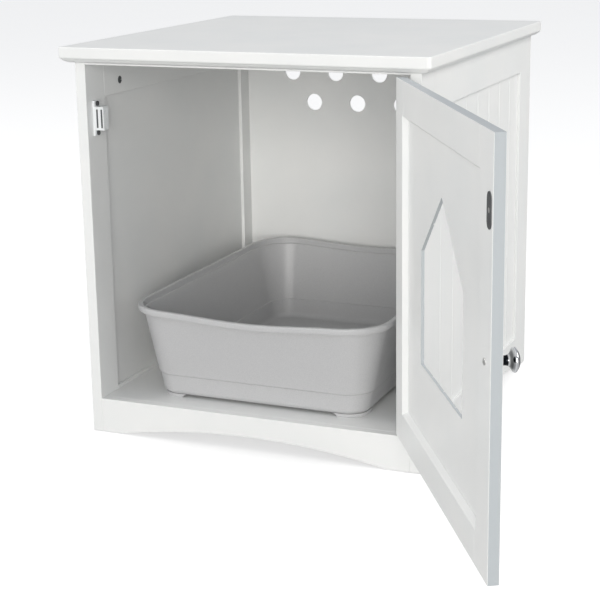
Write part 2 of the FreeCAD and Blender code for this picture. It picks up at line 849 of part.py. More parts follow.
def rim_band(over, under):
    """Everything between the dipped rim line less under and the rim line plus over."""
    reach = tray_width
    flat = tray_dip_share * tray_width / 2
    y = -tray_length

    def height(x):
        return tray_height - tray_dip * math.cos(math.pi * x / (2 * flat)) ** 2

    def edge(offset):
        count = 16
        points = [-flat + 2 * flat * k / count for k in range(count + 1)]
        curve = Part.BSplineCurve()
        curve.interpolate([Vector(x, y, height(x) + offset) for x in points],
                          InitialTangent=Vector(1, 0, 0), FinalTangent=Vector(1, 0, 0))
        ends = tray_height + offset
        left = Part.LineSegment(Vector(-reach, y, ends), Vector(-flat, y, ends)).toShape()
        right = Part.LineSegment(Vector(flat, y, ends), Vector(reach, y, ends)).toShape()
        return [left, curve.toShape(), right]

    closing = [Part.LineSegment(Vector(side, y, tray_height - under),
                                Vector(side, y, tray_height + over)).toShape() for side in (-reach, reach)]
    face = Part.Face(Part.Wire(Part.__sortEdges__(edge(over) + edge(-under) + closing)))
    return face.extrude(Vector(0, 2 * tray_length, 0))


def tray_prism(inset):
    """An upright block inside the tray's outline, taller than the rim."""
    z0 = tray_height - tray_dip - 2 * ledge_drop
    return Part.Face(tray_outline(inset, z0)).extrude(Vector(0, 0, tray_dip + 3 * ledge_drop))


def tray_ring(outer, inner, over, under):
    """An upright band between two insets that follows the dipped rim line."""
    return tray_prism(outer).cut(tray_prism(inner)).common(rim_band(over, under))


def placed_tray(shape):
    """Put a tray piece on the floor, turned a little, just behind the shut door."""
    a = tray_width / 2 - tray_corner
    b = tray_length / 2 - tray_corner
    turn = math.radians(abs(tray_turn))
    reach = b * math.cos(turn) + a * math.sin(turn) + tray_corner
    spot = Vector(tray_x, front_y + tray_front_clearance + reach, floor_top)
    moved = shape.copy()
    moved.Placement = FreeCAD.Placement(spot, Rotation(Vector(0, 0, 1), tray_turn))
    return moved


def tray_feet():
    """Four pads moulded under the corners of the bottom."""
    side = wall_inset(tray_foot_height + bottom_round) + tray_foot_inset
    rise = tray_foot_height + tray_wall / 2
    pads = Part.Face(tray_outline(side, 0)).extrude(Vector(0, 0, rise))
    x = tray_width / 2 - side - tray_foot_length
    y = tray_length / 2 - side - tray_foot_length
    across = block(-tray_width, tray_width, -y, y, 0, rise)
    along = block(-x, x, -tray_length, tray_length, 0, rise)
    return pads.cut([across, along])


def litter_tray():
    """Open tray: sloping walls with a step, rounded bottom, stacking ledge, turned-down rim, feet."""
    brink = rim_width - tray_wall
    ledge_edge = rim_width + ledge_width + tray_dip * wall_slope + ledge_bead
    brim = tray_ring(0, rim_width, 0, tray_wall)
    lip = tray_ring(0, tray_wall, 0, rim_height)
    collar = tray_ring(brink, rim_width, 0, ledge_drop + tray_wall)
    ledge = tray_ring(brink, ledge_edge, -ledge_drop, ledge_drop + tray_wall)
    shell = tray_loft(0, 0).cut(tray_loft(tray_wall, tray_wall))
    shell = shell.cut(rim_band(2 * ledge_drop, ledge_drop + tray_wall / 2))
    return placed_tray(shell.fuse([brim, lip, collar, ledge] + tray_feet().Solids).removeSplitter())


# ---------------------------------------------------------------- every node
def case_nodes():
    """The standing case and all that is fixed to it."""
    front_stile = drilled(side_front_stile())
    right_stile = front_stile
    for screw in hinge_screws(1):
        right_stile = right_stile.cut(screw)
    left_stile = mirrored(front_stile)
    for screw in catch_screw_list():
        left_stile = left_stile.cut(screw)
    rear_stile = drilled(side_rear_stile())
    top_rail = side_top_rail()
    bottom_rail = side_bottom_rail()
    panel = side_panel()
    lower, upper = hinge_middles()
    return {
        "tabletop": tabletop(),
        "moulding_front": moulding_front(),
        "moulding_right": moulding_right(),
        "moulding_left": mirrored(moulding_right()),
        "right_front_stile": right_stile,
        "right_rear_stile": rear_stile,
        "right_top_rail": top_rail,
        "right_bottom_rail": bottom_rail,
        "right_side_panel": panel,
        "left_front_stile": left_stile,
        "left_rear_stile": mirrored(rear_stile),
        "left_top_rail": mirrored(top_rail),
        "left_bottom_rail": mirrored(bottom_rail),
        "left_side_panel": mirrored(panel),
        "front_stretcher": front_stretcher(),
        "rear_stretcher": rear_stretcher(),
        "apron": apron(),
        "rear_base_rail": rear_base_rail(),
        "floor_panel": floor_panel(),
        "floor_cleats": floor_cleats(),
        "back_panel": back_panel(),
        "cam_locks": cam_locks(),
        "cam_bolts": cam_bolts(),
        "dowels": dowels(),
        "upper_hinge_case_leaf": hinge_leaf(upper, 1),
        "lower_hinge_case_leaf": hinge_leaf(lower, 1),
        "upper_hinge_pin": hinge_pin(upper),
        "lower_hinge_pin": hinge_pin(lower),
        "hinge_case_screws": Part.makeCompound(hinge_screws(1)),
        "catch_body": catch_body(),
        "catch_pole_plates": catch_pole_plates(),
        "catch_magnet": catch_magnet(),
        "catch_screws": Part.makeCompound(catch_screw_list()),
    }


def door_nodes():
    """The swinging door, modelled shut and then opened."""
    lower, upper = hinge_middles()
    shut = {
        "door_hinge_stile": door_hinge_stile(),
        "door_latch_stile": door_latch_stile(),
        "door_top_rail": door_top_rail(),
        "door_bottom_rail": door_bottom_rail(),
        "door_panel": door_panel(),
        "upper_hinge_door_leaf": hinge_leaf(upper, -1),
        "lower_hinge_door_leaf": hinge_leaf(lower, -1),
        "hinge_door_screws": Part.makeCompound(hinge_screws(-1)),
        "strike_plate": strike_plate(),
        "strike_screw": strike_screw(),
        "knob": knob(),
        "knob_screw": knob_screw(),
    }
    return {name: opened(shape) for name, shape in shut.items()}


def main():
    os.makedirs("parts", exist_ok=True)
    nodes = case_nodes()
    nodes.update(door_nodes())
    nodes["litter_tray"] = litter_tray()
    for name, shape in nodes.items():
        shape.exportStep("parts/" + name + ".step")
        print(name, len(shape.Solids), "solids", round(shape.Volume / 1000.0, 2), "cm3", shape.isValid())
    print("hinge axis", round(axis_x, 3), round(axis_y, 3))


main()
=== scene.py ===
"""Looks of the cat litter box cabinet.

The boards, hinges, catch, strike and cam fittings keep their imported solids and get
their finish.  The litter tray, the turned knob and the head of its screw are worked
out here as smooth surfaces.  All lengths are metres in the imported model's frame.
"""
import json
import math

import bpy
import numpy as np
from bpy.props import FloatProperty, FloatVectorProperty, IntProperty, PointerProperty
from bpy.types import Operator, Panel, PropertyGroup
from mathutils import Matrix, Vector


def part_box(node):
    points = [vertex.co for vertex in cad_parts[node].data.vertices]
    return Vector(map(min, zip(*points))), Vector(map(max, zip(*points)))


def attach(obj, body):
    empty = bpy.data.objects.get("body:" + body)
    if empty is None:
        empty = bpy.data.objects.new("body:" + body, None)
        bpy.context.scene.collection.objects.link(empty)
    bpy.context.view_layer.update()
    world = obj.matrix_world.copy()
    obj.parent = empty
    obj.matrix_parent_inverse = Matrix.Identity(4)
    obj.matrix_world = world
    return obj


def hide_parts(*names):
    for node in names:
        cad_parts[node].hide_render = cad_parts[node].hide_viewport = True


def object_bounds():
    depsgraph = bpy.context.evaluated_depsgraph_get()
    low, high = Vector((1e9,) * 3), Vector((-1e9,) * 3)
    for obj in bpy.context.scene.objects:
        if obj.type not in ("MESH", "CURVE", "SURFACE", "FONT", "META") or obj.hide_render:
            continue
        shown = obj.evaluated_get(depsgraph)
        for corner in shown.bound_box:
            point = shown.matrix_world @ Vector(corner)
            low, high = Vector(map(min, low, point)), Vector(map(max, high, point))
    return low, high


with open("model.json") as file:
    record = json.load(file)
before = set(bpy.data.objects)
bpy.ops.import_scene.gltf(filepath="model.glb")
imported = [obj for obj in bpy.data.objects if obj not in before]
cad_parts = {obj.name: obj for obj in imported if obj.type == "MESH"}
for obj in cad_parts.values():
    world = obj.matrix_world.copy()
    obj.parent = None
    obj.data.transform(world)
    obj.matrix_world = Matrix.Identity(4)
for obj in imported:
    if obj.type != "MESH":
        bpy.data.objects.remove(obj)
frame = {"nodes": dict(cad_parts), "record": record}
packed_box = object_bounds()

bl_info = {
    "name": "Cat Litter Box Cabinet",
    "version": (1, 0, 0),
    "blender": (4, 5, 0),
    "location": "View3D > Sidebar > Cabinet",
    "description": "Lacquer, tray, knob, fittings and studio of a cat litter box cabinet",
    "category": "Object",
}

SLOT_OF = {part["node"]: part["material_slot"] for part in frame["record"]["subparts"]}
HINGE = next(j for j in frame["record"]["behaviour"]["joints"] if j["name"] == "door_hinge")
PIVOT = np.array(HINGE["pos_m"])
DOOR_NODES = frame["record"]["behaviour"]["bodies"]["door"]


# ---------------------------------------------------------------- settings
class LacquerSettings(PropertyGroup):
    """The sprayed finish of the boards."""
    tint: FloatVectorProperty(
        name="Tint", description="Colour of the lacquer", subtype="COLOR",
        default=(0.865, 0.865, 0.855), min=0, max=1)
    shade: FloatVectorProperty(
        name="Shade", description="Colour where the coat lies a little thinner", subtype="COLOR",
        default=(0.83, 0.84, 0.835), min=0, max=1)
    # The edge tint is painted shade: the door's cut edges are coloured greyer because they are lit less
    # than the faces.
    edge_painted_shade: FloatVectorProperty(
        name="Edge tint", description="Colour on the cut edges of the door's boards",
        subtype="COLOR", default=(0.47, 0.50, 0.52), min=0, max=1)
    roughness: FloatProperty(
        name="Roughness", description="Roughness of the satin coat", default=0.42, min=0, max=1)
    peel_size: FloatProperty(
        name="Peel size", description="Distance between the ripples of the sprayed coat",
        default=0.0016, unit="LENGTH")
    peel_depth: FloatProperty(
        name="Peel depth", description="Height of those ripples", default=0.00002, unit="LENGTH",
        precision=6)
    edge_round: FloatProperty(
        name="Edge round", description="Radius of the lacquered edges", default=0.0005,
        unit="LENGTH", precision=5)


class TraySettings(PropertyGroup):
    """The moulded litter tray."""
    tint: FloatVectorProperty(
        name="Tint", description="Colour of the plastic", subtype="COLOR",
        default=(0.54, 0.54, 0.545), min=0, max=1)
    fleck: FloatVectorProperty(
        name="Fleck", description="Colour of the fine flecks in the plastic", subtype="COLOR",
        default=(0.49, 0.49, 0.50), min=0, max=1)
    roughness: FloatProperty(
        name="Roughness", description="Roughness of the moulded surface", default=0.34, min=0,
        max=1)
    width: FloatProperty(name="Width", description="Across the rim", default=0.354, unit="LENGTH")
    length: FloatProperty(
        name="Length", description="Front to back over the rim", default=0.462, unit="LENGTH")
    corner: FloatProperty(
        name="Corner", description="Corner radius of the rim", default=0.059, unit="LENGTH")
    dip: FloatProperty(
        name="Dip", description="How far the rim sinks in the middle of its short sides",
        default=0.006, unit="LENGTH")
    turn: FloatProperty(
        name="Turn", description="How the tray was put down", default=math.radians(-0.2),
        subtype="ANGLE")
    wall: FloatProperty(
        name="Wall", description="Thickness of the wall", default=0.0026, unit="LENGTH")
    slope: FloatProperty(
        name="Slope", description="Inward run of the wall per unit of height", default=0.205)
    rim_width: FloatProperty(
        name="Rim width", description="Width of the rim's top", default=0.0065, unit="LENGTH")
    rim_height: FloatProperty(
        name="Rim height", description="Height of the turned-down rim", default=0.0075,
        unit="LENGTH")
    ledge_drop: FloatProperty(
        name="Ledge drop", description="Stacking ledge below the rim, inside", default=0.008,
        unit="LENGTH")
    ledge_width: FloatProperty(
        name="Ledge width", description="Width of the stacking ledge", default=0.003, unit="LENGTH")
    step_height: FloatProperty(
        name="Step height", description="Moulded step above the tray's feet", default=0.033,
        unit="LENGTH")
    step_depth: FloatProperty(
        name="Step depth", description="How far the wall draws in below the step", default=0.0013,
        unit="LENGTH")
    bottom_round: FloatProperty(
        name="Bottom round", description="Radius where the wall meets the bottom", default=0.009,
        unit="LENGTH")
    foot_height: FloatProperty(
        name="Foot height", description="Height of the corner feet", default=0.0032, unit="LENGTH")
    foot_length: FloatProperty(
        name="Foot length", description="Foot along each side from the bottom's corner",
        default=0.034, unit="LENGTH")
    foot_inset: FloatProperty(
        name="Foot inset", description="Foot in from the wall at the bottom round", default=0.003,
        unit="LENGTH")


class FittingSettings(PropertyGroup):
    """Knob, strike, catch, hinges and screws."""
    door_angle: FloatProperty(
        name="Door angle", description="How far the door stands open at rest",
        default=math.radians(121), subtype="ANGLE")
    chrome: FloatVectorProperty(
        name="Chrome", description="Colour of the polished knob", subtype="COLOR",
        default=(0.80, 0.81, 0.83), min=0, max=1)
    chrome_roughness: FloatProperty(
        name="Chrome roughness", description="Roughness of the polished knob", default=0.06, min=0,
        max=1)
    # The neck tint and neck end below set a painted reflection: dark colour on the knob's neck in place
    # of the dark surroundings that polished chrome mirrors.
    painted_neck_reflection: FloatVectorProperty(
        name="Neck tint", description="Colour of the knob's neck", subtype="COLOR",
        default=(0.015, 0.017, 0.02), min=0, max=1)
    neck_reflection_end: FloatProperty(
        name="Neck end", description="Where the dark neck ends, as a share of the knob's length",
        default=0.42, min=0, max=1)
    steel: FloatVectorProperty(
        name="Steel", description="Colour of strike and pole plates", subtype="COLOR",
        default=(0.16, 0.165, 0.17), min=0, max=1)
    nickel: FloatVectorProperty(
        name="Nickel", description="Colour of hinges and screws", subtype="COLOR",
        default=(0.62, 0.62, 0.61), min=0, max=1)
    zinc: FloatVectorProperty(
        name="Zinc", description="Colour of the cam fittings", subtype="COLOR",
        default=(0.15, 0.155, 0.16), min=0, max=1)
    catch: FloatVectorProperty(
        name="Catch", description="Colour of the catch's housing", subtype="COLOR",
        default=(0.86, 0.88, 0.89), min=0, max=1)
    recess_depth: FloatProperty(
        name="Recess depth", description="Depth of the cross in a screw head", default=0.0009,
        unit="LENGTH")


class StudioSettings(PropertyGroup):
    """Floor, lights and camera."""
    focal_pixels: FloatProperty(
        name="Focal length", description="Focal length in pixels of a 600 pixel wide picture",
        default=1519.01)
    centre: FloatVectorProperty(
        name="Centre", description="Picture point straight ahead of the lens, in pixels", size=2,
        default=(308.46, 285.23))
    position: FloatVectorProperty(
        name="Position", description="Where the camera stands", subtype="TRANSLATION",
        default=(0.78123, -2.14799, 0.69134))
    yaw: FloatProperty(
        name="Yaw", description="Turn to the left", default=math.radians(22.77), subtype="ANGLE")
    pitch: FloatProperty(
        name="Pitch", description="Tilt down", default=math.radians(14.47), subtype="ANGLE")
    roll: FloatProperty(
        name="Roll", description="Tilt sideways", default=math.radians(-0.88), subtype="ANGLE")
    picture: IntProperty(
        name="Picture", description="Width and height of the picture in pixels", default=600)
    sky: FloatProperty(
        name="Sky", description="Strength of the white surround", default=0.47, min=0)
    sky_tint: FloatVectorProperty(
        name="Sky tint", description="Colour of the surround", subtype="COLOR",
        default=(0.92, 0.95, 1.0), min=0, max=1)
    lamp_tint: FloatVectorProperty(
        name="Lamp tint", description="Colour of the lights", subtype="COLOR",
        default=(1.0, 0.985, 0.95), min=0, max=1)
    key: FloatProperty(
        name="Key light", description="Large soft light in front, reaching into the cabinet",
        default=255.0, unit="POWER")
    left: FloatProperty(
        name="Left light", description="Soft light from the left, on the open door", default=56.0,
        unit="POWER")
    right: FloatProperty(
        name="Right light", description="Soft light on the right side", default=80.0, unit="POWER")
    key_distance: FloatProperty(
        name="Key distance", description="From the key light to the cabinet", default=6.0,
        unit="LENGTH")
    side_distance: FloatProperty(
        name="Side distance", description="From the side lights to the cabinet", default=4.0,
        unit="LENGTH")
    floor_tone: FloatVectorProperty(
        name="Floor tone", description="Colour of the floor", subtype="COLOR",
        default=(0.5, 0.5, 0.5), min=0, max=1)
    floor_glow: FloatProperty(
        name="Floor glow", description="How much lighter the floor looks than what it throws back",
        default=0.62, min=0)


# ---------------------------------------------------------------- materials
class Recipe:
    """A node material with one Principled shader, built up in a few calls."""

    def __init__(self, name, colour, roughness, metallic=0.0):
        self.material = bpy.data.materials.new(name)
        self.material.use_nodes = True
        self.nodes = self.material.node_tree.nodes
        self.links = self.material.node_tree.links
        self.shader = self.nodes["Principled BSDF"]
        self.shader.inputs["Base Color"].default_value = (*colour, 1)
        self.shader.inputs["Roughness"].default_value = roughness
        self.shader.inputs["Metallic"].default_value = metallic
        self.place = self.nodes.new("ShaderNodeTexCoord").outputs["Object"]
        self.surface = None

    def noise(self, size, detail=2.0, stretch=(1, 1, 1)):
        """A noise whose grains lie about size apart, drawn out by stretch."""
        mapping = self.nodes.new("ShaderNodeMapping")
        mapping.inputs["Scale"].default_value = stretch
        texture = self.nodes.new("ShaderNodeTexNoise")
        texture.inputs["Scale"].default_value = 1.0 / size
        texture.inputs["Detail"].default_value = detail
        self.links.new(self.place, mapping.inputs["Vector"])
        self.links.new(mapping.outputs["Vector"], texture.inputs["Vector"])
        return texture.outputs["Fac"]

    def spread(self, value, low, high, start=0.3, end=0.7):
        """Maps a noise from start..end on to low..high."""
        node = self.nodes.new("ShaderNodeMapRange")
        node.inputs["From Min"].default_value = start
        node.inputs["From Max"].default_value = end
        node.inputs["To Min"].default_value = low
        node.inputs["To Max"].default_value = high
        self.links.new(value, node.inputs["Value"])
        return node.outputs["Result"]

    def blend(self, value, first, second):
        """Colour that runs from first to second with a value; first may be an earlier blend."""
        node = self.nodes.new("ShaderNodeMix")
        node.data_type = "RGBA"
        if isinstance(first, bpy.types.NodeSocket):
            self.links.new(first, node.inputs["A"])
        else:
            node.inputs["A"].default_value = (*first, 1)
        node.inputs["B"].default_value = (*second, 1)
        self.links.new(value, node.inputs["Factor"])
        colour = node.outputs["Result"]
        self.links.new(colour, self.shader.inputs["Base Color"])
        return colour

    def rough(self, value):
        """Roughness that follows a value."""
        self.links.new(value, self.shader.inputs["Roughness"])

    def rounded_edges(self, radius):
        """Shades the edges as if they had a small radius."""
        node = self.nodes.new("ShaderNodeBevel")
        node.samples = 4
        node.inputs["Radius"].default_value = radius
        self.surface = node.outputs["Normal"]
        self.links.new(self.surface, self.shader.inputs["Normal"])

    def bump(self, value, depth, strength=1.0):
        """Raises the surface by depth where the value is high."""
        node = self.nodes.new("ShaderNodeBump")
        node.inputs["Strength"].default_value = strength
        node.inputs["Distance"].default_value = depth
        self.links.new(value, node.inputs["Height"])
        if self.surface is not None:
            self.links.new(self.surface, node.inputs["Normal"])
        self.surface = node.outputs["Normal"]
        self.links.new(self.surface, self.shader.inputs["Normal"])

    def glow_when_seen(self, strength):
        """Light that the surface gives to the lens alone, so that it throws none on the object."""
        path = self.nodes.new("ShaderNodeLightPath")
        scale = self.nodes.new("ShaderNodeMath")
        scale.operation = "MULTIPLY"
        scale.inputs[1].default_value = strength
        self.shader.inputs["Emission Color"].default_value = (1, 1, 1, 1)
        self.links.new(path.outputs["Is Camera Ray"], scale.inputs[0])
        self.links.new(scale.outputs["Value"], self.shader.inputs["Emission Strength"])

    def edge_shade_mask(self, across):
        """1 on the cut edges of a board whose faces look along across, 0 on those faces; it places the
        painted edge shade.
        """
        dot = self.nodes.new("ShaderNodeVectorMath")
        dot.operation = "DOT_PRODUCT"
        dot.inputs[1].default_value = across
        size = self.nodes.new("ShaderNodeMath")
        size.operation = "ABSOLUTE"
        normal = self.nodes.new("ShaderNodeTexCoord").outputs["Normal"]
        self.links.new(normal, dot.inputs[0])
        self.links.new(dot.outputs["Value"], size.inputs[0])
        return self.spread(size.outputs["Value"], 1, 0, 0.2, 0.5)

    def along(self, start, axis, length):
        """0 at start, 1 at length further along the axis."""
        dot = self.nodes.new("ShaderNodeVectorMath")
        dot.operation = "DOT_PRODUCT"
        dot.inputs[1].default_value = axis
        self.links.new(self.place, dot.inputs[0])
        first = float(np.dot(start, axis))
        return self.spread(dot.outputs["Value"], 0, 1, first, first + length)

    def bands(self, value, stops):
        """Colour that follows a value through (place, colour) stops."""
        ramp = self.nodes.new("ShaderNodeValToRGB")
        elements = ramp.color_ramp.elements
        while len(elements) < len(stops):
            elements.new(0.5)
        for element, (place, colour) in zip(elements, stops):
            element.position = place
            element.color = (*colour, 1)
        self.links.new(value, ramp.inputs["Fac"])
        self.links.new(ramp.outputs["Color"], self.shader.inputs["Base Color"])

    def set(self, **values):
        """Sets even values on the shader's own sockets."""
        for socket, value in values.items():
            self.shader.inputs[socket.replace("_", " ")].default_value = value


def lacquer(settings, name, across=None):
    """Satin white: faint cloudy tint, uneven sheen, fine sprayed ripple and soft edges.

    Where across is given, the cut edges of those boards are coloured greyer as painted shade, for edges
    that take less light than the faces.
    """
    recipe = Recipe(name, settings.tint, settings.roughness)
    cloud_size, patch_size = 0.11, 0.03
    clouds = recipe.spread(recipe.noise(cloud_size, 3), 0, 1)
    colour = recipe.blend(clouds, settings.tint, settings.shade)
    if across is not None:
        recipe.blend(recipe.edge_shade_mask(across), colour, settings.edge_painted_shade)
    patches = recipe.noise(patch_size, 4)
    recipe.rough(recipe.spread(patches, settings.roughness - 0.05, settings.roughness + 0.06))
    recipe.rounded_edges(settings.edge_round)
    recipe.bump(recipe.noise(settings.peel_size, 1), settings.peel_depth)
    recipe.set(IOR=1.46, Coat_Weight=0.12, Coat_Roughness=0.22)
    return recipe.material


def moulded_plastic(settings):
    """Grey plastic: fine flecks, a spark-eroded grain and a sheen that varies a little."""
    recipe = Recipe("grey moulded plastic", settings.tint, settings.roughness)
    fleck_size, patch_size = 0.0009, 0.02
    grain_size, grain_depth = 0.0006, 0.00002
    flecks = recipe.spread(recipe.noise(fleck_size, 3), 0, 1, 0.42, 0.62)
    recipe.blend(flecks, settings.tint, settings.fleck)
    patches = recipe.noise(patch_size, 3)
    recipe.rough(recipe.spread(patches, settings.roughness - 0.05, settings.roughness + 0.07))
    recipe.bump(recipe.noise(grain_size, 2), grain_depth)
    recipe.set(IOR=1.49)
    return recipe.material


def white_plastic(settings):
    """Smooth injection-moulded white, faintly rippled where it shrank."""
    recipe = Recipe("white catch plastic", settings.catch, 0.3)
    recipe.rough(recipe.spread(recipe.noise(0.006, 2), 0.26, 0.36))
    recipe.rounded_edges(0.0004)
    recipe.bump(recipe.noise(0.004, 1), 0.00003)
    recipe.set(IOR=1.5)
    return recipe.material


def plated_metal(name, colour, roughness, grain, stretch=(1, 1, 1)):
    """Metal with fine marks: roughness and bump share one drawn-out noise."""
    recipe = Recipe(name, colour, roughness, 1.0)
    marks = recipe.noise(grain, 4, stretch)
    recipe.rough(recipe.spread(marks, roughness * 0.75, roughness * 1.3))
    recipe.bump(marks, grain * 0.02)
    return recipe.material


def chrome_with_painted_reflections(s, seat, out, length):
    """Polished chrome with painted reflections: a nearly black neck and darker lines on the flare and
    round the face, painted where the chrome would mirror dark surroundings.
    """
    recipe = Recipe("mirror chrome", s.chrome, s.chrome_roughness, 1.0)
    # The dark, grey and line colours are painted reflections laid on the knob in bands, not the chrome's
    # own colour.
    dark, bright = s.painted_neck_reflection, s.chrome
    grey = [0.25 * value for value in bright]
    line = [0.14 * value for value in bright]
    recipe.bands(recipe.along(seat, out, length), (
        (0.0, dark), (s.neck_reflection_end, dark), (s.neck_reflection_end + 0.04, bright), (0.53, grey), (0.60, grey),
        (0.66, bright), (0.78, bright), (0.81, line), (0.86, line), (0.90, bright)))
    marks = recipe.noise(0.002, 4)
    recipe.rough(recipe.spread(marks, s.chrome_roughness * 0.75, s.chrome_roughness * 1.3))
    return recipe.material


def beech():
    """Bare turned beech: long grain with short darker rays."""
    recipe = Recipe("bare beech", (0.66, 0.48, 0.30), 0.6)
    grain = recipe.noise(0.0012, 5, (0.08, 1, 1))
    recipe.blend(recipe.spread(grain, 0, 1), (0.68, 0.50, 0.32), (0.52, 0.35, 0.20))
    recipe.bump(grain, 0.00006)
    return recipe.material


def ferrite():
    """Matt sintered magnet."""
    recipe = Recipe("sintered magnet", (0.035, 0.035, 0.04), 0.75)
    recipe.bump(recipe.noise(0.0005, 3), 0.00005)
    return recipe.material


def finish_nodes(slot, material, among=SLOT_OF):
    """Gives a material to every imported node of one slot, or to those of them in a group."""
    for name, node in frame["nodes"].items():
        if SLOT_OF.get(name) != slot or name not in among:
            continue
        if not node.data.materials:
            node.data.materials.append(material)
        for holder in node.material_slots:
            holder.material = material


# ---------------------------------------------------------------- surfaces
def closed_skin(rings, start, end):
    """Vertices and faces of a skin through rings of points, shut by one point at each end.

    rings has shape (rows, points around, 3).  Neighbouring rings are joined by quads
    and the end points by fans.
    """
    rows, around = rings.shape[:2]
    points = np.concatenate([rings.reshape(-1, 3), [start], [end]])
    row = np.arange(rows - 1)[:, None] * around
    here = np.arange(around)[None, :]
    after = (here + 1) % around
    quads = np.stack([row + here, row + after, row + around + after, row + around + here], -1)
    quads = quads.reshape(-1, 4)
    first = np.stack([np.full(around, rows * around), after[0], here[0]], -1)
    last_row = (rows - 1) * around
    last = np.stack([np.full(around, rows * around + 1), last_row + here[0], last_row + after[0]], -1)
    return points, quads, np.concatenate([first, last])


def signed_volume(points, quads, fans):
    """Sum of a . (b x c) / 6 over the triangles: positive if the faces point outwards."""
    triangles = np.concatenate([quads[:, [0, 1, 2]], quads[:, [0, 2, 3]], fans])
    a, b, c = (points[triangles[:, k]] for k in range(3))
    return np.einsum("ij,ij->i", a, np.cross(b, c)).sum() / 6


def piece(name, skins, material, body, stands_for=(), crease=math.radians(35)):
    """One object from several closed skins, smooth but for edges sharper than crease."""
    all_points, all_faces, offset = [], [], 0
    for points, quads, fans in skins:
        if signed_volume(points, quads, fans) < 0:
            quads, fans = quads[:, ::-1], fans[:, ::-1]
        all_points.append(points)
        all_faces += (quads + offset).tolist() + (fans + offset).tolist()
        offset += len(points)
    mesh = bpy.data.meshes.new(name)
    mesh.from_pydata(np.concatenate(all_points).tolist(), [], all_faces)
    mesh.polygons.foreach_set("use_smooth", np.ones(len(mesh.polygons), bool))
    mesh.set_sharp_from_angle(angle=crease)
    mesh.materials.append(material)
    made = bpy.data.objects.new(name, mesh)
    bpy.context.scene.collection.objects.link(made)
    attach(made, body)
    if stands_for:
        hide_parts(*stands_for)
    return made


def arc(centre, radius, start, end, count):
    """Points centre + radius (cos t, sin t) for t from start to end, in degrees."""
    turn = np.radians(np.linspace(start, end, count))
    return np.array(centre) + radius * np.stack([np.cos(turn), np.sin(turn)], -1)


def turned_skin(profile, origin, axis, around=64):
    """A lathe form: profile rows are (distance along the axis, radius), from end to end.

    A point is origin + along * axis + radius * (cos t * side + sin t * up), and the two
    rows with no radius become the end points.
    """
    axis = np.array(axis, float)
    up = np.array([0.0, 0.0, 1.0])
    side = np.cross(axis, up)
    turn = np.linspace(0, 2 * math.pi, around, endpoint=False)
    spokes = np.cos(turn)[:, None] * side + np.sin(turn)[:, None] * up
    centres = np.array(origin) + profile[:, :1] * axis
    rings = centres[1:-1, None, :] + profile[1:-1, 1, None, None] * spokes[None]
    return closed_skin(rings, centres[0], centres[-1])


# ---------------------------------------------------------------- door coordinates
def turned_about_pivot(points, angle):
    """Turns points about the hinge axis: x' = x cos a - y sin a, y' = x sin a + y cos a."""
    cosine, sine = math.cos(angle), math.sin(angle)
    local = np.asarray(points, float) - PIVOT
    return PIVOT + np.stack([local[..., 0] * cosine - local[..., 1] * sine,
                             local[..., 0] * sine + local[..., 1] * cosine, local[..., 2]], -1)


def shut_box(node, angle):
    """Lowest and highest corner of a door node with the door shut."""
    mesh = frame["nodes"][node].data
    points = np.empty(len(mesh.vertices) * 3)
    mesh.vertices.foreach_get("co", points)
    points = turned_about_pivot(points.reshape(-1, 3), -angle)
    return points.min(0), points.max(0)


def opened_skin(skin, angle):
    """A skin made on the shut door, turned with it to its resting angle."""
    points, quads, fans = skin
    return turned_about_pivot(points, angle), quads, fans


# ---------------------------------------------------------------- litter tray
def tray_around(corner_points=20, side_points=28):
    """Where a ring goes: multipliers of the corner centres, and the outward direction.

    Round a corner the direction turns by a quarter while the multipliers stay at 1 or -1;
    along a side the direction stays and one multiplier runs from one end to the other.
    """
    across, along, out_x, out_y = [], [], [], []
    signs = np.array([[1, 1], [-1, 1], [-1, -1], [1, -1]], float)
    for k in range(4):
        turn = np.radians(np.linspace(90 * k, 90 * k + 90, corner_points))
        run = np.linspace(0, 1, side_points + 2)[1:-1, None]
        side = signs[k] * (1 - run) + signs[(k + 1) % 4] * run
        across += [np.full(corner_points, signs[k, 0]), side[:, 0]]
        along += [np.full(corner_points, signs[k, 1]), side[:, 1]]
        out_x += [np.cos(turn), np.full(side_points, np.cos(turn[-1]))]
        out_y += [np.sin(turn), np.full(side_points, np.sin(turn[-1]))]
    return [np.concatenate(v) for v in (across, along, out_x, out_y)]


def wall_inset(s, height, z):
    """How far the outer wall has drawn in at z, above the tray's step."""
    return s.rim_width + s.ledge_width - s.wall + (height - s.ledge_drop - z) * s.slope


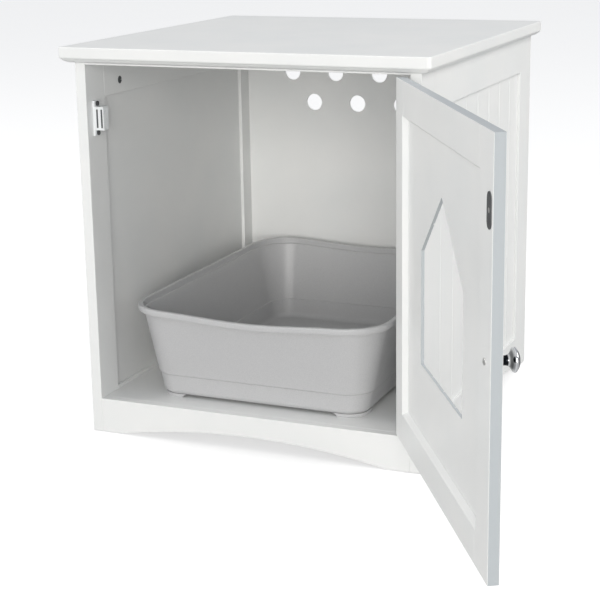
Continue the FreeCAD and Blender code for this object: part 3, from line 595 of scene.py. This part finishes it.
def tray_profile(s, height):
    """Rows of (inset, height, share of the dip) from the inside floor over the rim to the underside.

    The wall's inset grows evenly downwards and jumps by the step's depth, with a narrow groove
    under the step outside; arcs round the floor, the ledge, the rim's two brinks, the lip's
    lower edge and the bottom.
    """
    def inset(z):
        return wall_inset(s, height, z)

    def below(z):
        return inset(z) + s.step_depth

    floor = s.foot_height + s.wall
    inner_round = s.bottom_round - 0.001
    centre = floor + inner_round
    low = [[below(centre) + s.wall + inner_round * (1 - math.sin(t)),
            floor + inner_round * (1 - math.cos(t))]
           for t in np.radians(np.linspace(0, 90, 9))]
    half = 0.0003
    step = [[below(s.step_height - half) + s.wall, s.step_height - half],
            [inset(s.step_height + half) + s.wall, s.step_height + half]]
    shelf = height - s.ledge_drop
    bead = 0.0011
    hollow = 0.0012
    ledge = arc((s.rim_width + s.ledge_width - bead, shelf - bead), bead, 0, 90, 6)
    nook = arc((s.rim_width + hollow, shelf + hollow), hollow, 270, 180, 6)
    brink = 0.0013
    crest = 0.002
    inner_brink = arc((s.rim_width - brink, height - brink), brink, 0, 90, 6)
    outer_brink = arc((crest, height - crest), crest, 90, 180, 8)
    edge = 0.0007
    lip_outer = arc((edge, height - s.rim_height + edge), edge, 180, 270, 4)
    lip_inner = arc((s.wall - edge, height - s.rim_height + edge), edge, 270, 360, 4)
    collar = s.rim_width - s.wall
    under = shelf - s.wall
    under_rim = [[s.wall, height - s.wall - 0.0004], [s.wall + 0.0004, height - s.wall],
                 [collar - 0.0002, height - s.wall], [collar, height - s.wall - 0.0002],
                 [collar, under + 0.0004], [collar + 0.0004, under], [inset(under) - 0.0004, under]]
    groove, groove_height = 0.0014, 0.0018
    outer_step = [[inset(s.step_height + half), s.step_height + half],
                  [below(s.step_height - half) + groove, s.step_height - half],
                  [below(s.step_height - groove_height), s.step_height - groove_height]]
    knee = s.foot_height + s.bottom_round
    bottom = [[below(knee) + s.bottom_round * (1 - math.cos(t)), knee - s.bottom_round * math.sin(t)]
              for t in np.radians(np.linspace(0, 90, 10))]
    rim = np.concatenate([ledge, nook, inner_brink, outer_brink, lip_outer, lip_inner, under_rim])
    wall_in = np.array(low + step + [[inset(shelf - 2 * bead) + s.wall, shelf - 2 * bead]])
    wall_out = np.array([[inset(under - 0.0004), under - 0.0004]] + outer_step + bottom)
    rows = np.concatenate([wall_in, rim, wall_out])
    share = np.clip((rows[:, 1] - s.step_height) / (under - s.step_height), 0, 1)
    return np.column_stack([rows, share])


def tray_skin(s, centre, floor, height):
    """The tray's skin: each ring is a rounded rectangle drawn in by the row's inset.

    x = across (a - r) + r cos, y = along (b - r) + r sin, with half sizes a and b and corner
    radius r less the inset; z sinks by dip * share * cos^2(pi x / 2 flat) near the middle.
    """
    across, along, out_x, out_y = tray_around()
    rows = tray_profile(s, height)
    inset = rows[:, :1]
    radius = np.maximum(s.corner - inset, 0.004)
    half_width = s.width / 2 - inset
    half_length = s.length / 2 - inset
    x = across * (half_width - radius) + radius * out_x
    y = along * (half_length - radius) + radius * out_y
    flat = 0.82 * s.width / 2
    wave = np.where(np.abs(x) < flat, np.cos(math.pi * x / (2 * flat)) ** 2, 0) * (np.abs(along) > 0.999)
    z = rows[:, 1:2] - s.dip * rows[:, 2:3] * wave
    rings = placed_on_floor(np.stack([x, y, z], -1), s, centre, floor)
    ends = placed_on_floor(np.array([[0, 0, rows[0, 1]], [0, 0, rows[-1, 1]]]), s, centre, floor)
    return closed_skin(rings, ends[0], ends[1])


def placed_on_floor(points, s, centre, floor):
    """Turns tray points about the upright through its middle and sets them on the floor."""
    cosine, sine = math.cos(s.turn), math.sin(s.turn)
    return np.stack([centre[0] + points[..., 0] * cosine - points[..., 1] * sine,
                     centre[1] + points[..., 0] * sine + points[..., 1] * cosine,
                     floor + points[..., 2]], -1)


def tray_feet(s, centre, floor, height):
    """Four corner pads, whose ends flare into the tray's bottom.

    Each outline is a square of side foot_length with a quarter circle of radius r at the
    outer corner; shrink draws it in all round and reach carries its two inner sides on.
    """
    side = wall_inset(s, height, s.foot_height + s.bottom_round) + s.step_depth + s.foot_inset
    a, b = s.width / 2 - side, s.length / 2 - side
    r = s.corner - side
    turn = np.radians(np.linspace(0, 90, 16))

    def outline(shrink, reach, lift):
        """The pad of the corner at +x, +y, at one height."""
        bend = np.array([a - r, b - r]) + (r - shrink) * np.stack([np.cos(turn), np.sin(turn)], -1)
        far_x, far_y = a - s.foot_length + shrink - reach, b - s.foot_length + shrink - reach
        flat = np.concatenate([bend, [[far_x, b - shrink], [far_x, far_y], [a - shrink, far_y]]])
        return np.column_stack([flat, np.full(len(flat), lift)])

    soft = 0.0005
    flare = 0.006
    top = s.foot_height + 0.001
    levels = np.stack([outline(soft, 0, 0), outline(0, 0, soft),
                       outline(0, 0.25 * flare, 0.6 * top), outline(0, flare, top)])
    skins = []
    for sign in ((1, 1, 1), (-1, 1, 1), (-1, -1, 1), (1, -1, 1)):
        rings = placed_on_floor(levels * np.array(sign), s, centre, floor)
        skins.append(closed_skin(rings, rings[0].mean(0), rings[-1].mean(0)))
    return skins


# ---------------------------------------------------------------- knob and screws
def knob_profile(length, head, neck=0.0047, foot=0.0057):
    """Rows of (out from the door, radius): foot disc, waisted neck, flare, rolled brim, domed face.

    The flare follows neck + (brim's radius - neck) u^5 along the neck, and the face is a
    shallow circle whose top is at the full length.
    """
    disc = 0.0012
    brim = 0.0017
    start = 0.74 * length
    run = np.linspace(0, 1, 22)
    flare = np.column_stack([disc + 0.0004 + run * (start - brim - disc - 0.0004),
                             neck + (head - brim * 0.35 - neck) * run ** 5])
    lip = arc((start, head - brim), brim, 140, 20, 9)
    rise = length - lip[-1, 0]
    sphere = (rise ** 2 + lip[-1, 1] ** 2) / (2 * rise)
    turn = np.linspace(math.asin(lip[-1, 1] / sphere), 0, 12)[1:]
    dome = np.column_stack([length - sphere * (1 - np.cos(turn)), sphere * np.sin(turn)])
    base = [[0, 0], [0, foot], [disc - 0.0002, foot], [disc, foot - 0.0002], [disc, neck + 0.0006]]
    return np.concatenate([base, flare, lip, dome])


def screw_skin(origin, axis, radius, height, recess, cross=0.55, width=0.13, around=72):
    """A low round head with a cross pressed in.

    The head's height is h sqrt(1 - 0.85 q^2) for q from middle to edge; inside the two arms of
    the cross it sinks by the recess, with a steep but smooth flank.
    """
    axis = np.array(axis, float)
    up = np.array([0.0, 0.0, 1.0]) if abs(axis[2]) < 0.9 else np.array([1.0, 0.0, 0.0])
    side = np.cross(axis, up)
    q = np.linspace(1, 0.04, 26)[:, None]
    turn = np.linspace(0, 2 * math.pi, around, endpoint=False)[None, :] + math.pi / 9
    u, v = q * np.cos(turn - math.pi / 9), q * np.sin(turn - math.pi / 9)

    def arm(long, short):
        flank = 0.05
        return (np.clip((cross - np.abs(long)) / flank, 0, 1)
                * np.clip((width - np.abs(short)) / flank, 0, 1))

    sunk = np.maximum(arm(u, v), arm(v, u))
    lift = height * np.sqrt(1 - 0.85 * q ** 2) - recess * sunk
    spokes = (np.cos(turn)[..., None] * side + np.sin(turn)[..., None] * up)[0]
    top = np.array(origin) + lift[..., None] * axis + radius * q[..., None] * spokes[None]
    base = (np.array(origin) + radius * spokes)[None]
    tip = np.array(origin) + (height - recess) * axis
    return closed_skin(np.concatenate([base, top]), np.array(origin), tip)


# ---------------------------------------------------------------- operators
class CABINET_OT_boards(Operator):
    """Lacquer every board, moulding and panel"""
    bl_idname = "cabinet.boards"
    bl_label = "Boards"

    def execute(self, context):
        s = context.scene.cabinet_lacquer
        angle = context.scene.cabinet_fittings.door_angle
        across = (-math.sin(angle), math.cos(angle), 0)
        finish_nodes("white_board", lacquer(s, "satin white lacquer"))
        finish_nodes("white_board", lacquer(s, "satin white lacquer on the door", across), DOOR_NODES)
        finish_nodes("beech", beech())
        return {"FINISHED"}


class CABINET_OT_fittings(Operator):
    """Finish hinges, catch, strike, cam fittings and screws"""
    bl_idname = "cabinet.fittings"
    bl_label = "Fittings"

    def execute(self, context):
        s = context.scene.cabinet_fittings
        finish_nodes("nickel", plated_metal("nickel plate", s.nickel, 0.3, 0.0005, (1, 1, 8)))
        finish_nodes("dark_steel", plated_metal("dark steel", s.steel, 0.42, 0.0004))
        finish_nodes("zinc", plated_metal("cast zinc", s.zinc, 0.5, 0.0006))
        finish_nodes("chrome", plated_metal("polished chrome", s.chrome, s.chrome_roughness, 0.001))
        finish_nodes("white_plastic", white_plastic(s))
        finish_nodes("magnet", ferrite())
        return {"FINISHED"}


class CABINET_OT_tray(Operator):
    """Mould the litter tray with its rolled rim, step and feet"""
    bl_idname = "cabinet.tray"
    bl_label = "Litter tray"

    def execute(self, context):
        s = context.scene.cabinet_tray
        low, high = (np.array(corner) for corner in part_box("litter_tray"))
        centre = (low + high) / 2
        height = high[2] - low[2]
        skins = [tray_skin(s, centre, low[2], height)] + tray_feet(s, centre, low[2], height)
        piece("litter_tray_skin", skins, moulded_plastic(s), "tray", ("litter_tray",))
        return {"FINISHED"}


class CABINET_OT_knob(Operator):
    """Turn the polished knob"""
    bl_idname = "cabinet.knob"
    bl_label = "Knob"

    def execute(self, context):
        s = context.scene.cabinet_fittings
        low, high = shut_box("knob", s.door_angle)
        middle = (low + high) / 2
        profile = knob_profile(high[1] - low[1], (high[2] - low[2]) / 2)
        seat = np.array((middle[0], high[1], middle[2]))
        skin = opened_skin(turned_skin(profile, seat, (0, -1, 0), 96), s.door_angle)
        out = (math.sin(s.door_angle), -math.cos(s.door_angle), 0)
        material = chrome_with_painted_reflections(s, turned_about_pivot(seat, s.door_angle), out, high[1] - low[1])
        piece("knob_turned", [skin], material, "door", ("knob",))
        return {"FINISHED"}


class CABINET_OT_screws(Operator):
    """Press the cross into the head of the knob's screw"""
    bl_idname = "cabinet.screws"
    bl_label = "Knob screw"

    def execute(self, context):
        s = context.scene.cabinet_fittings
        nickel = plated_metal("nickel screw", s.nickel, 0.28, 0.0005)
        low, high = shut_box("knob_screw", s.door_angle)
        middle = (low + high) / 2
        face = shut_box("door_latch_stile", s.door_angle)[1][1]
        head = screw_skin((middle[0], face, middle[2]), (0, 1, 0), (high[2] - low[2]) / 2,
                          high[1] - face, s.recess_depth)
        skin = opened_skin(head, s.door_angle)
        piece("knob_screw_head", [skin], nickel, "door", ("knob_screw",))
        return {"FINISHED"}


class CABINET_OT_studio(Operator):
    """Set the pale floor, the soft lights and the camera"""
    bl_idname = "cabinet.studio"
    bl_label = "Studio"

    def execute(self, context):
        s = context.scene.cabinet_studio
        self.camera(context, s)
        self.floor(context, s)
        self.surround(context, s)
        self.light(context, "key light", azimuth=15, height=8, distance=s.key_distance, size=3.4,
                   power=s.key, tint=s.lamp_tint)
        self.light(context, "left light", azimuth=-80, height=35, distance=s.side_distance, size=2.0,
                   power=s.left, tint=s.lamp_tint)
        self.light(context, "right light", azimuth=100, height=35, distance=s.side_distance, size=2.0,
                   power=s.right, tint=s.lamp_tint)
        context.scene.view_settings.view_transform = "Standard"
        return {"FINISHED"}

    def camera(self, context, s):
        """The camera looks along (-sin yaw cos pitch, cos yaw cos pitch, -sin pitch), then rolls."""
        ahead = np.array([-math.sin(s.yaw) * math.cos(s.pitch), math.cos(s.yaw) * math.cos(s.pitch),
                          -math.sin(s.pitch)])
        level = np.array([math.cos(s.yaw), math.sin(s.yaw), 0.0])
        above = np.cross(level, ahead)
        right = math.cos(s.roll) * level + math.sin(s.roll) * above
        up = math.cos(s.roll) * above - math.sin(s.roll) * level
        lens = bpy.data.cameras.new("studio camera")
        lens.sensor_width = 36.0
        lens.lens = lens.sensor_width * s.focal_pixels / s.picture
        lens.shift_x = 0.5 - s.centre[0] / s.picture
        lens.shift_y = s.centre[1] / s.picture - 0.5
        lens.clip_start, lens.clip_end = 0.05, 50.0
        camera = bpy.data.objects.new("studio camera", lens)
        turn = Matrix(np.column_stack([right, up, -ahead]).tolist())
        camera.matrix_world = Matrix.Translation(s.position) @ turn.to_4x4()
        context.scene.collection.objects.link(camera)
        context.scene.camera = camera

    def floor(self, context, s):
        """A square floor, a hair below the cabinet's base."""
        reach = 12.0
        clearance = 0.0003
        corners = [(-reach, -reach, 0), (reach, -reach, 0), (reach, reach, 0), (-reach, reach, 0)]
        mesh = bpy.data.meshes.new("floor")
        mesh.from_pydata(corners, [], [(0, 1, 2, 3)])
        recipe = Recipe("pale floor", s.floor_tone, 0.7)
        recipe.rough(recipe.spread(recipe.noise(0.4, 2), 0.65, 0.8))
        recipe.glow_when_seen(s.floor_glow)
        mesh.materials.append(recipe.material)
        floor = bpy.data.objects.new("floor", mesh)
        floor.location.z = -clearance
        context.scene.collection.objects.link(floor)

    def surround(self, context, s):
        """An even pale surround on all sides."""
        world = context.scene.world or bpy.data.worlds.new("studio")
        context.scene.world = world
        world.use_nodes = True
        background = world.node_tree.nodes["Background"]
        background.inputs["Color"].default_value = (*s.sky_tint, 1)
        background.inputs["Strength"].default_value = s.sky

    def light(self, context, name, azimuth, height, distance, size, power, tint):
        """A square light facing the cabinet's middle; azimuth 0 is in front, 90 on the right."""
        lamp = bpy.data.lights.new(name, "AREA")
        lamp.shape = "SQUARE"
        lamp.size = size
        lamp.energy = power
        lamp.color = tint
        low, high = (Vector(corner) for corner in packed_box)
        around, above = math.radians(azimuth), math.radians(height)
        away = Vector((math.sin(around) * math.cos(above), -math.cos(around) * math.cos(above),
                       math.sin(above)))
        holder = bpy.data.objects.new(name, lamp)
        holder.location = (low + high) / 2 + distance * away
        holder.rotation_mode = "QUATERNION"
        holder.rotation_quaternion = (-away).to_track_quat("-Z", "Y")
        context.scene.collection.objects.link(holder)


class CABINET_PT_looks(Panel):
    """Buttons and settings of the cabinet's looks"""
    bl_idname = "CABINET_PT_looks"
    bl_label = "Litter box cabinet"
    bl_space_type = "VIEW_3D"
    bl_region_type = "UI"
    bl_category = "Cabinet"

    def draw(self, context):
        layout = self.layout
        scene = context.scene
        for operator, settings in ((CABINET_OT_boards, scene.cabinet_lacquer),
                                   (CABINET_OT_fittings, scene.cabinet_fittings),
                                   (CABINET_OT_tray, scene.cabinet_tray),
                                   (CABINET_OT_knob, None), (CABINET_OT_screws, None),
                                   (CABINET_OT_studio, scene.cabinet_studio)):
            box = layout.box()
            box.operator(operator.bl_idname)
            if settings:
                for name in settings.__annotations__:
                    box.prop(settings, name)


SETTINGS = {
    "cabinet_lacquer": LacquerSettings,
    "cabinet_tray": TraySettings,
    "cabinet_fittings": FittingSettings,
    "cabinet_studio": StudioSettings,
}
CLASSES = (*SETTINGS.values(), CABINET_OT_boards, CABINET_OT_fittings, CABINET_OT_tray, CABINET_OT_knob,
           CABINET_OT_screws, CABINET_OT_studio, CABINET_PT_looks)


def register():
    for cls in CLASSES:
        bpy.utils.register_class(cls)
    for name, cls in SETTINGS.items():
        setattr(bpy.types.Scene, name, PointerProperty(type=cls))


def unregister():
    for name in SETTINGS:
        delattr(bpy.types.Scene, name)
    for cls in reversed(CLASSES):
        bpy.utils.unregister_class(cls)


def main():
    register()
    bpy.ops.cabinet.boards()
    bpy.ops.cabinet.fittings()
    bpy.ops.cabinet.tray()
    bpy.ops.cabinet.knob()
    bpy.ops.cabinet.screws()
    bpy.ops.cabinet.studio()


if __name__ == "__main__":
    main()
